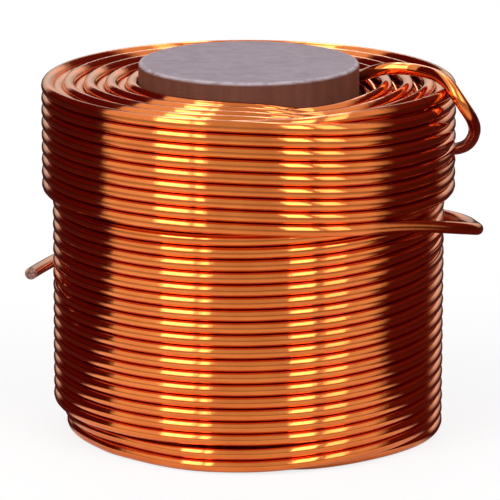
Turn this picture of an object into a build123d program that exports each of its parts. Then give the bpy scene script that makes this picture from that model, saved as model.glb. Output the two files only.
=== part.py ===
"""Iron core inductor: a round rod core inside a tight, self-supporting coil of enamelled copper wire.

Frame: +Z runs up the core's axis, and the origin is the middle of the base that the part stands on.
-Y is the front, where the outer layer's wire leaves the coil. Sizes are in millimetres.
"""

from build123d import *
import os
from math import cos, radians, sin, sqrt, tan

# The core.
core_diameter = 25.0
core_length = 42.2
core_top_bevel = 0.45
core_base_bevel = 0.3
core_clearance = 0.02

# The wire, measured over its enamel, and how it is wound.
wire_diameter = 1.39
turn_gap = 0.025
full_layers = 8
full_turns = 28
outer_turns = 9
groove_share = 0.43

# The straight stretch at each end of the wire, where a terminal goes on.
end_length = 6.0

# What follows from those sizes.
wire_radius = wire_diameter / 2
turn_pitch = wire_diameter + turn_gap
layer_step = sqrt(wire_diameter**2 - (turn_pitch / 2) ** 2)
bore_radius = core_diameter / 2 + core_clearance
outer_layer = full_layers + 1
top_turn_height = wire_radius + (full_turns - 0.5) * turn_pitch
groove_fill = groove_share * wire_radius


def layer_radius(layer):
    """Radius of a layer, to the middle of its wire. Layer 1 lies on the core."""
    return bore_radius + wire_radius + (layer - 1) * layer_step


def turn_height(layer, turn):
    """Height of the middle of a turn, counted down from 0. Even layers nest half a pitch lower."""
    nesting = 0 if layer % 2 else turn_pitch / 2
    return top_turn_height - nesting - turn * turn_pitch


def turn_places(layer, turns):
    """The middles of some of a layer's turns, on the half section."""
    return [(layer_radius(layer), turn_height(layer, turn)) for turn in turns]


def around(radius, angle, height):
    """A point at an angle in degrees round the coil: 0 is the front, and 90 is the right side."""
    return Vector(radius * sin(radians(angle)), -radius * cos(radians(angle)), height)


def end_of_wire(route, direction, bend_radius):
    """Where the wire is cut, so that it runs straight for end_length past the route's last bend."""
    turn = (route[-1] - route[-2]).get_angle(direction)
    return route[-1] + direction * (end_length + bend_radius * tan(radians(turn / 2)))


coil_top = top_turn_height + wire_radius
coil_radius = layer_radius(outer_layer) + wire_radius
step_height = turn_height(outer_layer, outer_turns - 1)

# The turns that show. The outer layer is short, so most of the layer under it shows too.
last_turn = full_turns - 1
top_turns = [place for n in range(1, outer_layer + 1) for place in turn_places(n, [0])]
outer_layer_turns = turn_places(outer_layer, range(1, outer_turns))
lower_turns = turn_places(full_layers, range(outer_turns - 1, full_turns))
base_turns = [place for n in range(1, full_layers) for place in turn_places(n, [last_turn])]
showing_turns = top_turns + outer_layer_turns + lower_turns + base_turns

# The packed middle of the half section. Its outline passes a little outside the middles of the
# turns that show, so that the grooves between them end on varnish and not on a knife edge.
step_out = groove_fill * turn_pitch / 2 / wire_diameter
step_down = groove_fill * layer_step / wire_diameter
packed_outline = (
    [(bore_radius, top_turn_height)]
    + [(r, z + groove_fill) for r, z in top_turns]
    + [
        (layer_radius(outer_layer) + groove_fill, top_turn_height),
        (layer_radius(outer_layer) + groove_fill, step_height),
        (layer_radius(outer_layer) + step_out, step_height - step_down),
        (layer_radius(full_layers) + step_out, step_height - turn_pitch / 2 - step_down),
        (layer_radius(full_layers) + groove_fill, step_height - turn_pitch),
        (layer_radius(full_layers) + groove_fill, turn_height(full_layers, last_turn)),
        (layer_radius(full_layers), turn_height(full_layers, last_turn) - groove_fill),
    ]
    + [(r, z - groove_fill) for r, z in reversed(base_turns)]
    + [(bore_radius, turn_height(1, last_turn))]
)

# The start of the wire: up beside the core, over the top of the coil and down its right side.
inner_end_direction = Vector(-0.12, 0.98, -0.16).normalized()
inner_route = [
    around(bore_radius + 1.3, 105, coil_top - 1.4),
    around(bore_radius + 1.5, 94, coil_top + 0.6),
    around(bore_radius + 3.5, 90, coil_top + 1.2),
    around(bore_radius + 6.7, 87, coil_top + 1.2),
    around(coil_radius - 0.8, 76, coil_top + 1.1),
    around(coil_radius + 1.4, 71, coil_top - 0.9),
    around(coil_radius + 2.7, 76, coil_top - 3.9),
    around(coil_radius + 2.0, 87, coil_top - 6.6),
    around(coil_radius + 1.6, 99, coil_top - 8.8),
    around(coil_radius + 1.6, 112, coil_top - 10.3),
]
inner_bend_radii = [2.0, 3.0, 4.0, 3.0, 2.6, 3.0, 3.2, 12.0, 14.0]
inner_route.append(end_of_wire(inner_route, inner_end_direction, inner_bend_radii[-1]))

# The end of the wire: off the outer layer at the front right, past the coil's side, back behind
# it, and forward again at the left.
outer_end_direction = Vector(-0.14, -0.98, 0.12).normalized()
outer_route = [
    around(coil_radius - 3.0, 18, step_height - 0.9),
    around(coil_radius - 0.1, 47, step_height - 1.3),
    around(coil_radius + 3.7, 70, step_height - 3.3),
    around(coil_radius + 2.7, 83, step_height - 4.7),
    around(coil_radius + 1.9, 105, step_height - 5.7),
    around(coil_radius + 2.1, 137, step_height - 7.3),
    around(coil_radius + 2.4, 165, step_height - 8.7),
    around(coil_radius + 2.5, 194, step_height - 9.9),
    around(coil_radius + 1.4, 224, step_height - 10.9),
    around(coil_radius + 0.8, 250, step_height - 11.3),
]
outer_bend_radii = [20.0, 3.4, 9.0, 12.0, 13.0, 13.0, 13.0, 13.0, 36.0]
outer_route.append(end_of_wire(outer_route, outer_end_direction, outer_bend_radii[-1]))

# Core: one pressed rod, with a worn bevel round its top edge and a small one underneath.
with BuildPart() as core:
    with BuildSketch():
        Circle(core_diameter / 2)
    extrude(amount=core_length)
    top_edge = core.faces().sort_by(Axis.Z)[-1].edges()
    base_edge = core.faces().sort_by(Axis.Z)[0].edges()
    chamfer(top_edge, core_top_bevel)
    chamfer(base_edge, core_base_bevel)

# Coil: one length of wire, so its turns and both of its ends are one solid.
with BuildPart() as coil:
    with BuildSketch(Plane.XZ):
        with BuildLine():
            Polyline(packed_outline, close=True)
        make_face()
        with Locations(*showing_turns):
            Circle(wire_radius)
    revolve(axis=Axis.Z)

    for route, bend_radii in ((inner_route, inner_bend_radii), (outer_route, outer_bend_radii)):
        with BuildLine() as lead_path:
            FilletPolyline(route, radius=bend_radii)
        with BuildSketch(Plane(origin=lead_path.line @ 0, z_dir=lead_path.line % 0)):
            Circle(wire_radius)
        sweep(path=lead_path.line)
        print("wire end", round(sum(edge.length for edge in lead_path.edges()), 1), "mm long")

# Each piece is named and written to its own file.
core.part.label = "core"
coil.part.label = "coil"

os.makedirs("parts", exist_ok=True)
export_step(core.part, "parts/core.step")
export_step(coil.part, "parts/coil.step")

print("coil", round(2 * coil_radius, 2), "across and", round(coil_top, 2), "high")
for name, end, direction in (
    ("inner", inner_route[-1], inner_end_direction),
    ("outer", outer_route[-1], outer_end_direction),
):
    middle = end - direction * end_length / 2
    print(name, "end: middle of its straight stretch", middle, "pointing", direction)
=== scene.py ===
# %% [markdown]
# # An iron core inductor
#
# A rod of pressed iron powder stands inside a coil of thick enamelled copper wire. The coil has no
# bobbin: eight full layers and a short ninth are wound straight on the rod, and the enamel bakes
# them into one stiff body. The two ends of the wire are left long, so that it can be soldered in.
#
# The looks depend on three things: turns that nest and step like real wire, enamel that is clear
# and glossy over bright copper, and a lamp set-up that such a mirror-like surface can reflect.

# %% Load the frame
import bmesh
import bpy
from math import cos, floor, pi, radians, sin, sqrt, tanh
from mathutils import Matrix, Quaternion, Vector, noise


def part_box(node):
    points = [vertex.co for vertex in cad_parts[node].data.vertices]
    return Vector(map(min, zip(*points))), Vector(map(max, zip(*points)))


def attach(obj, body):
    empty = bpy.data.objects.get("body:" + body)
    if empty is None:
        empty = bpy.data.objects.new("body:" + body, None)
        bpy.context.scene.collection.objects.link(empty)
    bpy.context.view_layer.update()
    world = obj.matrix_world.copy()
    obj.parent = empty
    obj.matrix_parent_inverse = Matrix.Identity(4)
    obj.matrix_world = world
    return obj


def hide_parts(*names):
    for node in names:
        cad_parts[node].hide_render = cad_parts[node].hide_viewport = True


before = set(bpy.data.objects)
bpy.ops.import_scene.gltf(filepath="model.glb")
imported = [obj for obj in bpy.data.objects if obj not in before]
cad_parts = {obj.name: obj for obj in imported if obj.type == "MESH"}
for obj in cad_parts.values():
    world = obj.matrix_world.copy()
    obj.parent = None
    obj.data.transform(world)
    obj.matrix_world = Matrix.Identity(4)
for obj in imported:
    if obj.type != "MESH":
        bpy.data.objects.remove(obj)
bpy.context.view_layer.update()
core_low, core_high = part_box("core")
core_radius = (core_high.x - core_low.x) / 2
core_top = core_high.z
print("core", round(2000 * core_radius, 2), "mm across and", round(1000 * core_top, 2), "mm high")

# %% [markdown]
# ## The winding's sizes
#
# The wire is 1.39 mm over its enamel, and neighbouring turns keep a hair of air between them. A
# layer of round wire does not lie on top of the last one: it drops into the grooves between its
# turns, so each layer adds less than a wire's thickness to the radius, and sits half a pitch higher
# or lower than its neighbours. All of that follows from three numbers.

# %% The winding's sizes, in metres
wire_diameter = 0.00139
turn_gap = 0.000025
core_clearance = 0.00002
full_layers = 8
full_turns = 28
outer_turns = 9

wire_radius = wire_diameter / 2
turn_pitch = wire_diameter + turn_gap
layer_step = sqrt(wire_diameter**2 - (turn_pitch / 2) ** 2)
bore_radius = core_radius + core_clearance
outer_layer = full_layers + 1


def layer_radius(layer):
    """Radius of a layer, to the middle of its wire."""
    return bore_radius + wire_radius + (layer - 1) * layer_step


def level_height(level):
    """Height of a wire's middle, in pitches above a wire that lies on the ground."""
    return wire_radius + level * turn_pitch


def around(radius, angle, height):
    """A point at an angle in radians round the coil: 0 is the front, and a quarter turn the right."""
    return Vector((radius * sin(angle), -radius * cos(angle), height))


coil_top = level_height(full_turns - 0.5) + wire_radius
coil_radius = layer_radius(outer_layer) + wire_radius
print("coil", round(2000 * coil_radius, 2), "mm across and", round(1000 * coil_top, 2), "mm high")

# %% [markdown]
# ## How a turn climbs
#
# A wire in a tight layer does not climb like a screw thread. It runs level in the groove below it,
# and then steps over to the next level in one short stretch, the crossover. All the crossovers of a
# layer lie one above another. Here a step is a hyperbolic tangent: flat, a smooth climb, flat again.

# %% The crossovers
# How slowly a wire steps over, in radians: in layers one to seven, in the ninth, and in the eighth.
tight_step, outer_step, wide_step = 0.3, 0.4, 0.8


def steps_taken(angle, crossing, softness):
    """How many levels a wire has climbed at an angle, with one crossover in each turn."""
    turn = floor((angle - crossing) / (2 * pi) + 0.5)
    past = angle - crossing - turn * 2 * pi
    return turn + 0.5 + 0.5 * tanh(past / softness)


def ease(value, low, high):
    """0 below low and 1 above high, with a smooth change between them."""
    share = min(max((value - low) / (high - low), 0), 1)
    return share * share * (3 - 2 * share)


def ease_about(value, middle, half):
    """0 and then 1, with a smooth change that reaches by half its width to each side of the middle."""
    return ease(value, middle - half, middle + half)


print("levels after one turn and a half:", round(steps_taken(3 * pi, 0, tight_step), 2))

# %% [markdown]
# ## The path of the wire
#
# The whole coil is one length of wire. Odd layers are wound downwards and even layers upwards, and
# at each end of a layer the wire moves out to the next one over a sixth of a turn. Each layer is a
# piece of its own here, because one mesh of the whole wire would be too heavy. A curve with a round
# bevel is the right tool: a spin makes neat rings, but a ring can't step over to the next level.

# %% A layer's path
level_top = full_turns - 0.5
change_top = radians(60)
change_foot = radians(150)
change_half = radians(28)
inner_start = radians(118)
lead_leaves = radians(14)
outer_crossing = radians(20)
crossing_down = radians(20)
crossing_up = radians(95)
wide_crossing = radians(47)
seventh_stops = 2.5
turn = 2 * pi

# Each layer: the angles where it starts and ends, its first and last level, and its crossover.
layers = {}
for layer in range(1, full_layers):
    if layer % 2:
        layers[layer] = dict(start=change_top, end=change_foot + (full_turns - 1) * turn,
                             first=level_top, last=0.5, crossing=crossing_down, softness=tight_step)
    else:
        layers[layer] = dict(start=change_foot, end=change_top + full_turns * turn,
                             first=0, last=level_top - 0.5, crossing=crossing_up, softness=tight_step)
layers[1]["start"] = inner_start
layers[6].update(first=1, end=change_top + (full_turns - 1) * turn)
layers[7].update(last=seventh_stops, end=change_foot + (full_turns - 3) * turn, moves_out=False)
layers[8] = dict(start=change_foot - turn, end=change_top + full_turns * turn,
                 first=seventh_stops, last=level_top, crossing=wide_crossing, softness=wide_step)
layers[9] = dict(start=change_top, end=lead_leaves + outer_turns * turn, first=level_top,
                 last=level_top - (outer_turns - 1), crossing=outer_crossing, softness=outer_step)


def share_moved(layer, angle):
    """How far the wire has moved in from the last layer, and out to the next one, as two shares."""
    start, end = layers[layer]["start"], layers[layer]["end"]
    arriving = 1 - ease_about(angle, start, change_half) if layer > 1 else 0
    leaving = ease_about(angle, end, change_half)
    if layer == outer_layer or not layers[layer].get("moves_out", True):
        leaving = 0
    return arriving, leaving


def plain_place(layer, angle):
    """Radius and level of the wire in a layer that is wound evenly."""
    plan = layers[layer]
    arriving, leaving = share_moved(layer, angle)
    taken = steps_taken(angle, plan["crossing"], plan["softness"]) - 1
    level = plan["first"] - taken if layer % 2 else plan["first"] + taken
    if arriving:
        level -= arriving * (plan["first"] - layers[layer - 1]["last"])
    if leaving:
        level += leaving * (layers[layer + 1]["first"] - plan["last"])
    return layer_radius(layer) + layer_step * (leaving - arriving), level


print("layers planned:", len(layers))

# %% [markdown]
# ## The layer that shows
#
# Most of the eighth layer is in sight, and its start is not tidy. The seventh layer stops two turns
# short, so the first two turns of the eighth sink into its place all along the left side. They come
# up to their own radius at the front, where the very first stretch slips out from under them.

# %% The eighth layer's path
# Where a turn sinks in, comes out again, and gives back the level that it dropped.
sunk_in, sunk_out, dropped_out = radians(230), radians(333), radians(375)
change_soft = radians(16)
eighth_offset = 0.15
# The first of these turns lies a little deeper still, up to a kink.
start_kink, kink_soft = radians(308), radians(7)
kink_depth = 0.0003
# The start: where it leaves the seventh layer's level, and where it lies one layer deeper.
start_falls = (radians(-215), radians(-130))
start_buried, start_freed = (radians(-170), radians(-125)), (radians(-5), radians(20))
# The first turn moves out in two stretches up to this angle: each one's share and where it runs.
start_settled = radians(110)
start_moves_out = [(0.4, radians(3), radians(24)), (0.6, radians(36), radians(72))]


def eighth_place(angle):
    """Radius and level of the wire in the eighth layer, with its untidy start."""
    plan = layers[8]
    leaving = share_moved(8, angle)[1]
    radius = layer_radius(8) + layer_step * leaving
    level = steps_taken(angle, plan["crossing"], plan["softness"]) - 1 + eighth_offset
    for past in (angle, angle - turn):
        arrived = ease_about(past, sunk_in, change_soft)
        radius -= layer_step * (arrived - ease_about(past, sunk_out, change_soft))
        level -= eighth_offset * (arrived - ease_about(past, dropped_out, change_soft))
    radius -= kink_depth * (ease_about(angle, sunk_in, change_soft)
                            - ease_about(angle, start_kink, kink_soft))
    if angle < start_settled:
        out = sum(share * ease(angle, low, high) for share, low, high in start_moves_out)
        radius -= layer_step * (1 - out)
        radius -= layer_step * (ease(angle, *start_buried) - ease(angle, *start_freed))
        level = max(level, 0)
    level += plan["first"] * (1 - ease(angle, *start_falls))
    return radius, min(max(level, 0), level_top)


print("eighth layer at the left:", [round(v, 4) for v in eighth_place(radians(290))])

# %% [markdown]
# ## The layers as tubes
#
# Each path becomes a curve of short straight runs with a round bevel, which is then made a mesh. No
# real turn is perfect, so a smooth noise moves the wire by up to two hundredths of a millimetre. The
# inner layers show only at the top and the foot, so they are given fewer sides than the outer two.

# %% Tubes
wobble_radius = 0.00002
wobble_level = 0.008
wobble_reach = 0.9
# Each layer, and a layer's level, read the noise from a place of their own.
layers_apart, level_apart = 7.3, 5.1


def wire_point(layer, angle):
    """The middle of the wire at an angle in a layer."""
    radius, level = eighth_place(angle) if layer == 8 else plain_place(layer, angle)
    spot = Vector((angle * wobble_reach, layer * layers_apart, 0))
    radius += wobble_radius * noise.noise(spot)
    level += wobble_level * noise.noise(spot + Vector((0, 0, level_apart)))
    return around(radius, angle, level_height(level))


def tube(name, points, kind, sides, closed_ends=False):
    """A round wire along some points, as a mesh at the origin."""
    line = bpy.data.curves.new(name, "CURVE")
    line.dimensions = "3D"
    line.bevel_depth = wire_radius
    line.bevel_resolution = (sides - 4) // 2
    line.use_fill_caps = closed_ends
    spline = line.splines.new(kind)
    spline.points.add(len(points) - 1)
    for target, point in zip(spline.points, points):
        target.co = (*point, 1)
    if kind == "NURBS":
        spline.order_u = 3
        spline.use_endpoint_u = True
        spline.resolution_u = 12
    drawn = bpy.data.objects.new(name + "_line", line)
    bpy.context.scene.collection.objects.link(drawn)
    bpy.context.view_layer.update()
    bevelled = drawn.evaluated_get(bpy.context.evaluated_depsgraph_get())
    mesh = bpy.data.meshes.new_from_object(bevelled)
    bpy.data.objects.remove(drawn)
    mesh.name = name
    piece = bpy.data.objects.new(name, mesh)
    bpy.context.scene.collection.objects.link(piece)
    mesh.shade_smooth()
    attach(piece, "root")
    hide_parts("coil")
    return piece


# The outer two layers have more steps in a turn and more sides than the hidden ones.
hidden_steps, hidden_sides = 72, 12
steps_in_turn = {8: 120, 9: 144}
sides_round = {8: 14, 9: 16}
wire_pieces = []
for layer, plan in layers.items():
    sweep = plan["end"] - plan["start"]
    count = round(sweep / turn * steps_in_turn.get(layer, hidden_steps))
    points = [wire_point(layer, plan["start"] + sweep * i / count) for i in range(count + 1)]
    piece = tube(f"layer_{layer}", points, "POLY", sides_round.get(layer, hidden_sides))
    wire_pieces.append(piece)
    print(piece.name, round(sweep / turn, 1), "turns,", len(piece.data.polygons), "faces")

# %% [markdown]
# ## The two ends of the wire
#
# Thick enamelled wire is stiff: it keeps any bend that a hand gives it. The inner end comes up
# beside the core, over the top of the coil and down its right side. The outer end leaves the ninth
# layer at the front right, is bent back in a tight hook, and swings round behind the coil to the
# left. Both are smooth splines, which start along the turn that they grow out of.

# %% The ends
step_height = level_height(level_top - (outer_turns - 1))


def degrees_round(radius, degrees, height):
    """A point at an angle in degrees round the coil, with sizes in millimetres."""
    return around(radius / 1000, radians(degrees), height / 1000)


def straight_on(layer, angle, back, length):
    """The point that a layer's wire reaches if it goes straight on from an angle by a length."""
    end = wire_point(layer, angle)
    return end + (end - wire_point(layer, angle + back)).normalized() * length


bore = 1000 * bore_radius
outside = 1000 * coil_radius
top = 1000 * coil_top
step = 1000 * step_height
# The straight stretch for a terminal, and how much longer each end's last run is.
end_length = 0.006
inner_spare, outer_spare = 0.0013, 0.0069
# A short look back along the turn, in radians, and how far each end goes straight on from it.
look_back = 0.05
inner_run, outer_run = 0.002, 0.005

inner_direction = Vector((-0.12, 0.98, -0.16)).normalized()
inner_route = [
    wire_point(1, inner_start),
    straight_on(1, inner_start, look_back, inner_run),
    degrees_round(bore + 1.5, 94, top + 0.6),
    degrees_round(bore + 3.5, 90, top + 1.2),
    degrees_round(bore + 6.7, 87, top + 1.2),
    degrees_round(outside - 0.8, 76, top + 1.1),
    degrees_round(outside + 1.4, 71, top - 0.9),
    degrees_round(outside + 2.7, 76, top - 3.9),
    degrees_round(outside + 2.0, 87, top - 6.6),
    degrees_round(outside + 1.6, 99, top - 8.8),
    degrees_round(outside + 1.6, 112, top - 10.3),
]
inner_route.append(inner_route[-1] + inner_direction * (end_length + inner_spare))

outer_direction = Vector((-0.14, -0.98, 0.12)).normalized()
leaving = layers[9]["end"]
outer_route = [
    wire_point(9, leaving),
    straight_on(9, leaving, -look_back, outer_run),
    degrees_round(outside - 0.1, 47, step - 1.3),
    degrees_round(outside + 3.7, 70, step - 3.3),
    degrees_round(outside + 2.7, 83, step - 4.7),
    degrees_round(outside + 1.9, 105, step - 5.7),
    degrees_round(outside + 2.1, 137, step - 7.3),
    degrees_round(outside + 2.4, 165, step - 8.7),
    degrees_round(outside + 2.5, 194, step - 9.9),
    degrees_round(outside + 1.4, 224, step - 10.9),
    degrees_round(outside + 0.8, 250, step - 11.3),
]
outer_route.append(outer_route[-1] + outer_direction * (end_length + outer_spare))

end_sides = 20
wire_pieces.append(tube("inner_end", inner_route, "NURBS", end_sides, closed_ends=True))
wire_pieces.append(tube("outer_end", outer_route, "NURBS", end_sides, closed_ends=True))
for piece in wire_pieces[-2:]:
    print(piece.name, len(piece.data.polygons), "faces")

# %% [markdown]
# ## The cut faces
#
# The wire is snipped, not stripped, so each end shows a round copper face inside a thin dark rim of
# enamel. A circle is inset once for the rim, and its middle is raised a hair, as a cutter leaves it.

# %% Cut faces
rim_width = 0.00022
slope_width = 0.35 * wire_radius
face_rise = 0.00008


def cut_face(name, middle, direction):
    """The face where a wire was cut: copper inside, a rim of enamel outside."""
    bm = bmesh.new()
    bmesh.ops.create_circle(bm, cap_ends=True, cap_tris=False, segments=40, radius=wire_radius)
    bmesh.ops.inset_region(bm, faces=bm.faces[:], thickness=rim_width, depth=0)
    copper = max(bm.faces, key=lambda f: f.calc_area())
    copper.material_index = 1
    inner = bmesh.ops.inset_individual(bm, faces=[copper], thickness=slope_width, depth=face_rise)
    for face in inner["faces"] + [copper]:
        face.material_index = 1
    turned = Vector((0, 0, 1)).rotation_difference(direction).to_matrix().to_4x4()
    bmesh.ops.transform(bm, matrix=Matrix.Translation(middle) @ turned, verts=bm.verts[:])
    mesh = bpy.data.meshes.new(name)
    bm.to_mesh(mesh)
    bm.free()
    piece = bpy.data.objects.new(name, mesh)
    bpy.context.scene.collection.objects.link(piece)
    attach(piece, "root")
    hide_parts("coil")
    return piece


face_gap = 0.00002
cut_faces = [
    cut_face("inner_cut", inner_route[-1] + inner_direction * face_gap, inner_direction),
    cut_face("outer_cut", outer_route[-1] + outer_direction * face_gap, outer_direction),
]
print("outer cut face at", [round(v, 4) for v in outer_route[-1]])

# %% [markdown]
# ## The core
#
# The rod is iron powder pressed hard and coated thinly. Its rim is worn lighter and a little chipped
# from tumbling against other rods. A circle is extruded to the rod, its two rims are bevelled, and
# noise then bites small chips out of the top rim.

# %% Core
core_top_bevel = 0.00045
core_base_bevel = 0.0003
chip_depth = 0.00016
# The chips' noise, in waves to a metre, with finer chips among them and most of the rim left whole.
chip_reach = 900
fine_reach, fine_share = 2.3, 0.5
chip_threshold = 0.12
sharp_over = radians(40)


def rims_at(bm, height):
    """The edges of the rod's round rim at a height."""
    return [e for e in bm.edges if all(abs(v.co.z - height) < 1e-6 for v in e.verts)]


bm = bmesh.new()
bmesh.ops.create_circle(bm, cap_ends=True, segments=256, radius=core_radius)
lifted = bmesh.ops.extrude_face_region(bm, geom=bm.faces[:])
top_rim = [g for g in lifted["geom"] if isinstance(g, bmesh.types.BMVert)]
bmesh.ops.translate(bm, vec=(0, 0, core_top), verts=top_rim)
bmesh.ops.bevel(bm, geom=rims_at(bm, core_top), offset=core_top_bevel, offset_type="OFFSET",
                affect="EDGES", segments=7, profile=0.5, material=-1)
bmesh.ops.bevel(bm, geom=rims_at(bm, 0), offset=core_base_bevel, offset_type="OFFSET",
                affect="EDGES", segments=3, profile=0.5, material=-1)
for vert in bm.verts:
    if vert.co.z > core_top - 2 * core_top_bevel:
        bite = noise.noise(vert.co * chip_reach)
        bite += fine_share * noise.noise(vert.co * fine_reach * chip_reach)
        bite = max(0, bite - chip_threshold)
        rim = 1 - min(abs(vert.co.xy.length - (core_radius - core_top_bevel / 2)) / core_top_bevel, 1)
        inward = -Vector((vert.co.x, vert.co.y, 0)).normalized() + Vector((0, 0, -1))
        vert.co += inward.normalized() * chip_depth * min(bite * 2, 1) * rim
bmesh.ops.recalc_face_normals(bm, faces=bm.faces[:])
mesh = bpy.data.meshes.new("rod")
bm.to_mesh(mesh)
bm.free()
mesh.shade_smooth()
mesh.set_sharp_from_angle(angle=sharp_over)
rod = bpy.data.objects.new("rod", mesh)
bpy.context.scene.collection.objects.link(rod)
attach(rod, "root")
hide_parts("core")
print("rod:", len(mesh.polygons), "faces")

# %% [markdown]
# ## An uneven surface
#
# Neither enamel nor pressed powder is perfectly even. One node group makes a smooth mottle from the
# position on the piece. The enamel, its rim, the bare copper and the rod all use it with their own
# numbers, which is less work than a noise set up anew in each of them.

# %% Uneven
def socket(group, name, way, kind, value=None):
    """Give a node group an input or an output, with the value that an input starts from."""
    made = group.interface.new_socket(name=name, in_out=way, socket_type=kind)
    if value is not None:
        made.default_value = value


uneven = bpy.data.node_groups.new("uneven", "ShaderNodeTree")
socket(uneven, "Scale", "INPUT", "NodeSocketFloat", 500.0)
socket(uneven, "Detail", "INPUT", "NodeSocketFloat", 2.0)
socket(uneven, "Low", "INPUT", "NodeSocketFloat", 0.35)
socket(uneven, "High", "INPUT", "NodeSocketFloat", 0.65)
socket(uneven, "Share", "OUTPUT", "NodeSocketFloat")
inlet = uneven.nodes.new("NodeGroupInput")
outlet = uneven.nodes.new("NodeGroupOutput")
place = uneven.nodes.new("ShaderNodeTexCoord")
cloud = uneven.nodes.new("ShaderNodeTexNoise")
spread = uneven.nodes.new("ShaderNodeMapRange")
uneven.links.new(place.outputs["Object"], cloud.inputs["Vector"])
uneven.links.new(inlet.outputs["Scale"], cloud.inputs["Scale"])
uneven.links.new(inlet.outputs["Detail"], cloud.inputs["Detail"])
uneven.links.new(cloud.outputs["Fac"], spread.inputs["Value"])
uneven.links.new(inlet.outputs["Low"], spread.inputs["From Min"])
uneven.links.new(inlet.outputs["High"], spread.inputs["From Max"])
uneven.links.new(spread.outputs["Result"], outlet.inputs["Share"])


def add_uneven(tree, scale, detail, low, high):
    """Place the mottle in a material, and give its output."""
    node = tree.nodes.new("ShaderNodeGroup")
    node.node_tree = uneven
    for name, value in (("Scale", scale), ("Detail", detail), ("Low", low), ("High", high)):
        node.inputs[name].default_value = value
    return node.outputs["Share"]


def add_mix(tree, share, low, high):
    """A colour between two colours, or between what two sockets give."""
    node = tree.nodes.new("ShaderNodeMix")
    node.data_type = "RGBA"
    tree.links.new(share, node.inputs["Factor"])
    for name, value in (("A", low), ("B", high)):
        target = next(i for i in node.inputs if i.name == name and i.type == "RGBA")
        if isinstance(value, bpy.types.NodeSocket):
            tree.links.new(value, target)
        else:
            target.default_value = (*value, 1)
    return next(o for o in node.outputs if o.type == "RGBA")


def add_range(tree, value, from_low, from_high, to_low=0.0, to_high=1.0):
    """A value moved from one range to another, and held inside it."""
    node = tree.nodes.new("ShaderNodeMapRange")
    tree.links.new(value, node.inputs["Value"])
    for name, number in (("From Min", from_low), ("From Max", from_high),
                         ("To Min", to_low), ("To Max", to_high)):
        node.inputs[name].default_value = number
    return node.outputs["Result"]


def new_material(name):
    """A material with its node tree and its Principled shader."""
    material = bpy.data.materials.new(name)
    material.use_nodes = True
    return material, material.node_tree, material.node_tree.nodes["Principled BSDF"]


print("group sockets:", [i.name for i in uneven.interface.items_tree])

# %% [markdown]
# ## Enamelled copper
#
# Clear enamel lies on bright copper, so there are two reflections: a strong orange one from the
# metal, and a faint white one from the enamel that grows towards the edge of the wire. A metallic
# Principled shader with a clear coat is just that. Light that bounces between turns is tinted at
# each bounce, which is why the grooves between them glow deep red by themselves.

# %% Enamelled copper
bump_height = 0.0001
enamel, tree, shader = new_material("enamelled_copper")
shader.inputs["Metallic"].default_value = 1.0
shader.inputs["Coat Weight"].default_value = 1.0
shader.inputs["Coat Roughness"].default_value = 0.12
shader.inputs["Coat IOR"].default_value = 1.4
shader.inputs["Coat Tint"].default_value = (1.0, 0.72, 0.45, 1)
copper = add_mix(tree, add_uneven(tree, 260, 3, 0.35, 0.65),
                 (0.74, 0.235, 0.036), (0.82, 0.295, 0.058))
tree.links.new(copper, shader.inputs["Base Color"])
dullness = add_range(tree, add_uneven(tree, 700, 2, 0.35, 0.65), 0, 1, 0.06, 0.1)
tree.links.new(dullness, shader.inputs["Roughness"])
bump = tree.nodes.new("ShaderNodeBump")
bump.inputs["Strength"].default_value = 0.06
bump.inputs["Distance"].default_value = bump_height
tree.links.new(add_uneven(tree, 900, 2, 0.2, 0.8), bump.inputs["Height"])
tree.links.new(bump.outputs["Normal"], shader.inputs["Normal"])
for piece in wire_pieces:
    piece.data.materials.clear()
    piece.data.materials.append(enamel)
print("wire pieces enamelled:", len(wire_pieces))

# %% [markdown]
# ## The finish of the cut faces
#
# Enamel that is seen edge on looks almost black, and copper that has been snipped is dull and
# scratched by the cutter. Both could be one material with a ring drawn in it, but the faces are
# already told apart in the mesh, so each simply gets a material of its own.

# %% The finish of the cut faces
rim_enamel, tree, shader = new_material("enamel_rim")
shader.inputs["Roughness"].default_value = 0.4
shader.inputs["Specular IOR Level"].default_value = 0.15
dark = add_mix(tree, add_uneven(tree, 3000, 2, 0.3, 0.7), (0.016, 0.005, 0.004), (0.03, 0.009, 0.007))
tree.links.new(dark, shader.inputs["Base Color"])
bare, tree, shader = new_material("cut_copper")
shader.inputs["Metallic"].default_value = 1.0
shader.inputs["Roughness"].default_value = 0.5
scratched = add_mix(tree, add_uneven(tree, 4000, 3, 0.35, 0.65), (0.14, 0.06, 0.045), (0.42, 0.24, 0.2))
tree.links.new(scratched, shader.inputs["Base Color"])
for piece in cut_faces:
    piece.data.materials.append(rim_enamel)
    piece.data.materials.append(bare)
print("materials:", len(bpy.data.materials))
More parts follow.
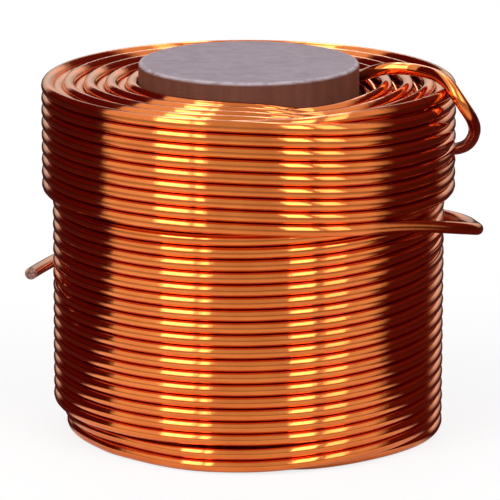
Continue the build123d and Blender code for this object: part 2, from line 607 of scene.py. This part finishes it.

# %% [markdown]
# ## Pressed iron powder
#
# The rod's end is a matt grey with a hint of mauve. Its side has faint streaks along its length from
# the press, under a darker brown that is painted shade with painted light from the copper coil in it,
# and its rim is rubbed lighter. Height and distance from the axis tell the three apart, and a fine mottle
# breaks up each of them.

# %% Pressed iron powder
# The end's colour begins and is full this many bevels below the top, and the wear this far from the side.
end_from, end_full = 0.8, 0.15
wear_from, wear_full = 0.0006, 0.0003
powder, tree, shader = new_material("pressed_iron_powder")
place = tree.nodes.new("ShaderNodeTexCoord")
split = tree.nodes.new("ShaderNodeSeparateXYZ")
tree.links.new(place.outputs["Object"], split.inputs["Vector"])
flat = tree.nodes.new("ShaderNodeVectorMath")
flat.operation = "MULTIPLY"
flat.inputs[1].default_value = (1, 1, 0)
tree.links.new(place.outputs["Object"], flat.inputs[0])
far = tree.nodes.new("ShaderNodeVectorMath")
far.operation = "LENGTH"
tree.links.new(flat.outputs["Vector"], far.inputs[0])
streaks = tree.nodes.new("ShaderNodeTexNoise")
streaks.inputs["Scale"].default_value = 1.0
streaks.inputs["Detail"].default_value = 3.0
stretched = tree.nodes.new("ShaderNodeMapping")
stretched.inputs["Scale"].default_value = (900, 900, 60)
tree.links.new(place.outputs["Object"], stretched.inputs["Vector"])
tree.links.new(stretched.outputs["Vector"], streaks.inputs["Vector"])

end_colour = add_mix(tree, add_uneven(tree, 700, 6, 0.3, 0.7), (0.205, 0.16, 0.188), (0.265, 0.215, 0.245))
# The side's dark brown is painted shade with a painted glow from the copper beside it, over real streaks
# from the press.
side_streaks_and_painted_copper_shade = add_mix(tree, add_range(tree, streaks.outputs["Fac"], 0.2, 0.8),
                      (0.1, 0.034, 0.02), (0.14, 0.052, 0.032))
on_end = add_range(tree, split.outputs["Z"], core_top - end_from * core_top_bevel,
                   core_top - end_full * core_top_bevel)
body_colour = add_mix(tree, on_end, side_streaks_and_painted_copper_shade, end_colour)
rim_in = add_range(tree, far.outputs["Value"], core_radius - wear_from, core_radius - wear_full)
rim_share = tree.nodes.new("ShaderNodeMath")
rim_share.operation = "MULTIPLY"
tree.links.new(rim_in, rim_share.inputs[0])
tree.links.new(on_end, rim_share.inputs[1])
worn = tree.nodes.new("ShaderNodeMath")
worn.operation = "MULTIPLY"
tree.links.new(rim_share.outputs["Value"], worn.inputs[0])
tree.links.new(add_uneven(tree, 900, 4, 0.3, 0.55), worn.inputs[1])
tree.links.new(add_mix(tree, worn.outputs["Value"], body_colour, (0.38, 0.32, 0.35)),
               shader.inputs["Base Color"])
shader.inputs["Roughness"].default_value = 0.6
shader.inputs["Specular IOR Level"].default_value = 0.25
bump = tree.nodes.new("ShaderNodeBump")
bump.inputs["Strength"].default_value = 0.35
bump.inputs["Distance"].default_value = bump_height
tree.links.new(add_uneven(tree, 2600, 5, 0.2, 0.8), bump.inputs["Height"])
tree.links.new(bump.outputs["Normal"], shader.inputs["Normal"])
rod.data.materials.append(powder)
print("rod's finish:", powder.name)

# %% [markdown]
# ## The light tent
#
# Polished wire shows nothing but its surroundings, so the studio matters as much as the copper. A
# white tent stands in front, open and dim beyond each side, with a white wall far behind, and four
# tall lamp panels glow through the tent. An upright wall's edge shows on a coil at the angle that
# faces halfway between the wall and the eye, so the tent is laid out in those halfway angles.

# %% The tent's layout
wall_white, dim_warm, dim_right = (1.0, 1.0, 1.0), (0.1, 0.008, 0.004), (0.13, 0.02, 0.01)
# How much of a sight line from the camera runs level, which turns a direction into a halfway angle.
eye_share = 0.972


def grey(level):
    """A colour with the same red, green and blue."""
    return (level, level, level)


# The colour of the tent at each halfway angle in degrees: 0 faces the camera and 90 the right.
tent_panels = [(-90, wall_white), (-80, wall_white), (-75, dim_warm), (-45, dim_warm), (-42.6, grey(1.0)),
               (-22, grey(1.0)), (-6, grey(0.72)), (7, grey(0.7)), (24, grey(0.68)), (36, grey(0.95)),
               (39, grey(0.9)), (44.5, dim_right), (66, dim_right), (73, wall_white), (90, wall_white)]
# The lamp panels' left and right edges as halfway angles, and their share of the full brightness.
lamp_panels = [(-26.2, -16.2, 1.0), (-14.6, -11.8, 1.0), (11.6, 18.6, 0.95), (22, 28.6, 0.6)]
lamp_edge = 0.35
lamp_radiance = 4.6
# The floor's colour has the tent's light painted on it by its own compass: painted shade in the dim behind
# it.
floor_painted_light = [(-180, dim_warm), (-84, dim_warm), (-76, grey(1.0)), (-25, grey(0.95)), (0, grey(0.85)),
                (25, grey(0.85)), (55, grey(0.95)), (64, grey(0.9)), (73, dim_warm), (180, dim_warm)]


def add_ramp(tree, share, stops):
    """A ramp whose colours change along a socket's share, from stops of place and colour."""
    ramp = tree.nodes.new("ShaderNodeValToRGB")
    tree.links.new(share, ramp.inputs["Fac"])
    marks = ramp.color_ramp.elements
    while len(marks) < len(stops):
        marks.new(0.5)
    for mark, (position, colour) in zip(marks, stops):
        mark.position = position
    for mark, (position, colour) in zip(marks, stops):
        mark.color = (*colour, 1)
    return ramp.outputs["Color"]


def add_compass(tree, direction, eye):
    """The angle round the coil, 0 at the front, and z, of the direction that a socket gives."""
    split = tree.nodes.new("ShaderNodeSeparateXYZ")
    tree.links.new(direction, split.inputs["Vector"])
    ahead = tree.nodes.new("ShaderNodeMath")
    ahead.operation = "SUBTRACT"
    ahead.inputs[0].default_value = eye
    tree.links.new(split.outputs["Y"], ahead.inputs[1])
    compass = tree.nodes.new("ShaderNodeMath")
    compass.operation = "ARCTAN2"
    tree.links.new(split.outputs["X"], compass.inputs[0])
    tree.links.new(ahead.outputs["Value"], compass.inputs[1])
    return compass.outputs["Value"], split.outputs["Z"]


def add_scaled(tree, colour, amount):
    """A colour made brighter or dimmer by a number or a socket."""
    node = tree.nodes.new("ShaderNodeVectorMath")
    node.operation = "SCALE"
    tree.links.new(colour, node.inputs["Vector"])
    if isinstance(amount, bpy.types.NodeSocket):
        tree.links.new(amount, node.inputs["Scale"])
    else:
        node.inputs["Scale"].default_value = amount
    return node.outputs["Vector"]


print("tent panels:", len(tent_panels), "and lamp panels:", len(lamp_panels))

# %% [markdown]
# ## Hanging the tent
#
# The tent could be built from glowing planes, but their edges would have to be moved one by one. The
# world's own colour does the same: one ramp round the coil holds the cloth, a second one the lamp
# panels, and the height in the view fades both. The camera itself sees plain white.

# %% The tent
foot_shade = 0.5
# The heights over which the cloth brightens, the lamp panels begin and the lamp panels end.
cloth_foot, lamp_foot, lamp_head = (0.08, 0.28), (0.2, 0.36), (0.85, 0.95)
world = bpy.data.worlds.new("tent")
bpy.context.scene.world = world
world.use_nodes = True
tree = world.node_tree
place = tree.nodes.new("ShaderNodeTexCoord")
halfway, height = add_compass(tree, place.outputs["Generated"], eye_share)
share_round = add_range(tree, halfway, -pi / 2, pi / 2)
cloth = add_ramp(tree, share_round, [((degrees + 90) / 180, colour) for degrees, colour in tent_panels])
cloth = add_scaled(tree, cloth, add_range(tree, height, *cloth_foot, foot_shade, 1))
strips = [(0, grey(0))]
for left, right, level in lamp_panels:
    for degrees, bright in ((left - lamp_edge, 0), (left + lamp_edge, level),
                            (right - lamp_edge, level), (right + lamp_edge, 0)):
        strips.append(((degrees + 90) / 180, grey(bright)))
glowing = add_ramp(tree, share_round, strips + [(1, grey(0))])
glowing = add_scaled(tree, glowing, add_range(tree, height, *lamp_foot, 0, lamp_radiance))
glowing = add_scaled(tree, glowing, add_range(tree, height, *lamp_head, 1, 0))
both = tree.nodes.new("ShaderNodeVectorMath")
tree.links.new(cloth, both.inputs[0])
tree.links.new(glowing, both.inputs[1])
seen = tree.nodes.new("ShaderNodeLightPath")
tree.links.new(add_mix(tree, seen.outputs["Is Camera Ray"], both.outputs["Vector"], (1, 1, 1)),
               tree.nodes["Background"].inputs["Color"])
print("world:", len(tree.nodes), "nodes")

# %% [markdown]
# ## Floor
#
# The coil stands on a plain white table. The rays that light the coil see a painted pool of light on
# it in front, where the tent stands over it, and painted shade beyond. The floor keeps the coil's soft
# shadow. It is lifted towards white only where the camera looks at it directly, so the lift adds no light
# to the coil.

# %% Floor
table_white = 0.8
table_lift = 0.8
# The table's painted light is at its brightest up to one distance from the coil, and its painted shade at
# its darkest from another.
table_near, table_far, far_painted_shade = 0.05, 0.13, 0.5
table_half = 6

bm = bmesh.new()
bmesh.ops.create_grid(bm, x_segments=1, y_segments=1, size=table_half)
mesh = bpy.data.meshes.new("floor")
bm.to_mesh(mesh)
bm.free()
floor_piece = bpy.data.objects.new("floor", mesh)
bpy.context.scene.collection.objects.link(floor_piece)
white, tree, shader = new_material("white_table")
shader.inputs["Roughness"].default_value = 0.8
shader.inputs["Specular IOR Level"].default_value = 0.1
place = tree.nodes.new("ShaderNodeTexCoord")
compass = add_compass(tree, place.outputs["Object"], 0)[0]
# Painted pool of light: the floor colour is bright in front and painted dark at the sides and behind, for
# rays other than the camera's.
painted_pool_of_light = add_ramp(tree, add_range(tree, compass, -pi, pi),
                      [((degrees + 180) / 360, colour) for degrees, colour in floor_painted_light])
far = tree.nodes.new("ShaderNodeVectorMath")
far.operation = "LENGTH"
tree.links.new(place.outputs["Object"], far.inputs[0])
# Painted shade: the floor colour darkens with distance from the coil.
painted_falloff = add_range(tree, far.outputs["Value"], table_near, table_far,
                    table_white, table_white * far_painted_shade)
painted_pool_of_light = add_scaled(tree, painted_pool_of_light, painted_falloff)
seen = tree.nodes.new("ShaderNodeLightPath")
tree.links.new(add_mix(tree, seen.outputs["Is Camera Ray"], painted_pool_of_light, grey(table_white)),
               shader.inputs["Base Color"])
glow = tree.nodes.new("ShaderNodeEmission")
lift = add_range(tree, seen.outputs["Is Camera Ray"], 0, 1, 0, table_lift)
blend = tree.nodes.new("ShaderNodeMixShader")
tree.links.new(lift, blend.inputs["Fac"])
tree.links.new(shader.outputs["BSDF"], blend.inputs[1])
tree.links.new(glow.outputs["Emission"], blend.inputs[2])
tree.links.new(blend.outputs["Shader"], tree.nodes["Material Output"].inputs["Surface"])
floor_piece.data.materials.append(white)
print("floor laid")

# %% [markdown]
# ## Camera
#
# A long lens from half a metre away looks down a little, so the turns show as flat ovals and the
# end of the rod as a narrow one.

# %% Camera
# Angles in radians, distances in metres, and the lens and sensor in millimetres.
lens_pitch, lens_yaw, lens_roll = 0.2355, -0.00036, 0.0023
camera_back, camera_up = 0.5135, 0.1435
lens_length, sensor_width = 333.2, 36
camera_data = bpy.data.cameras.new("camera")
camera_data.lens = lens_length
camera_data.sensor_width = sensor_width
camera = bpy.data.objects.new("camera", camera_data)
camera.location = (0, -camera_back, camera_up)
camera.rotation_mode = "QUATERNION"
camera.rotation_quaternion = (Quaternion((0, 0, 1), lens_yaw) @ Quaternion((1, 0, 0), pi / 2 - lens_pitch)
                              @ Quaternion((0, 0, 1), lens_roll))
bpy.context.scene.collection.objects.link(camera)
bpy.context.scene.camera = camera
bpy.context.scene.view_settings.view_transform = "Standard"
print("camera at", [round(v, 3) for v in camera.location])
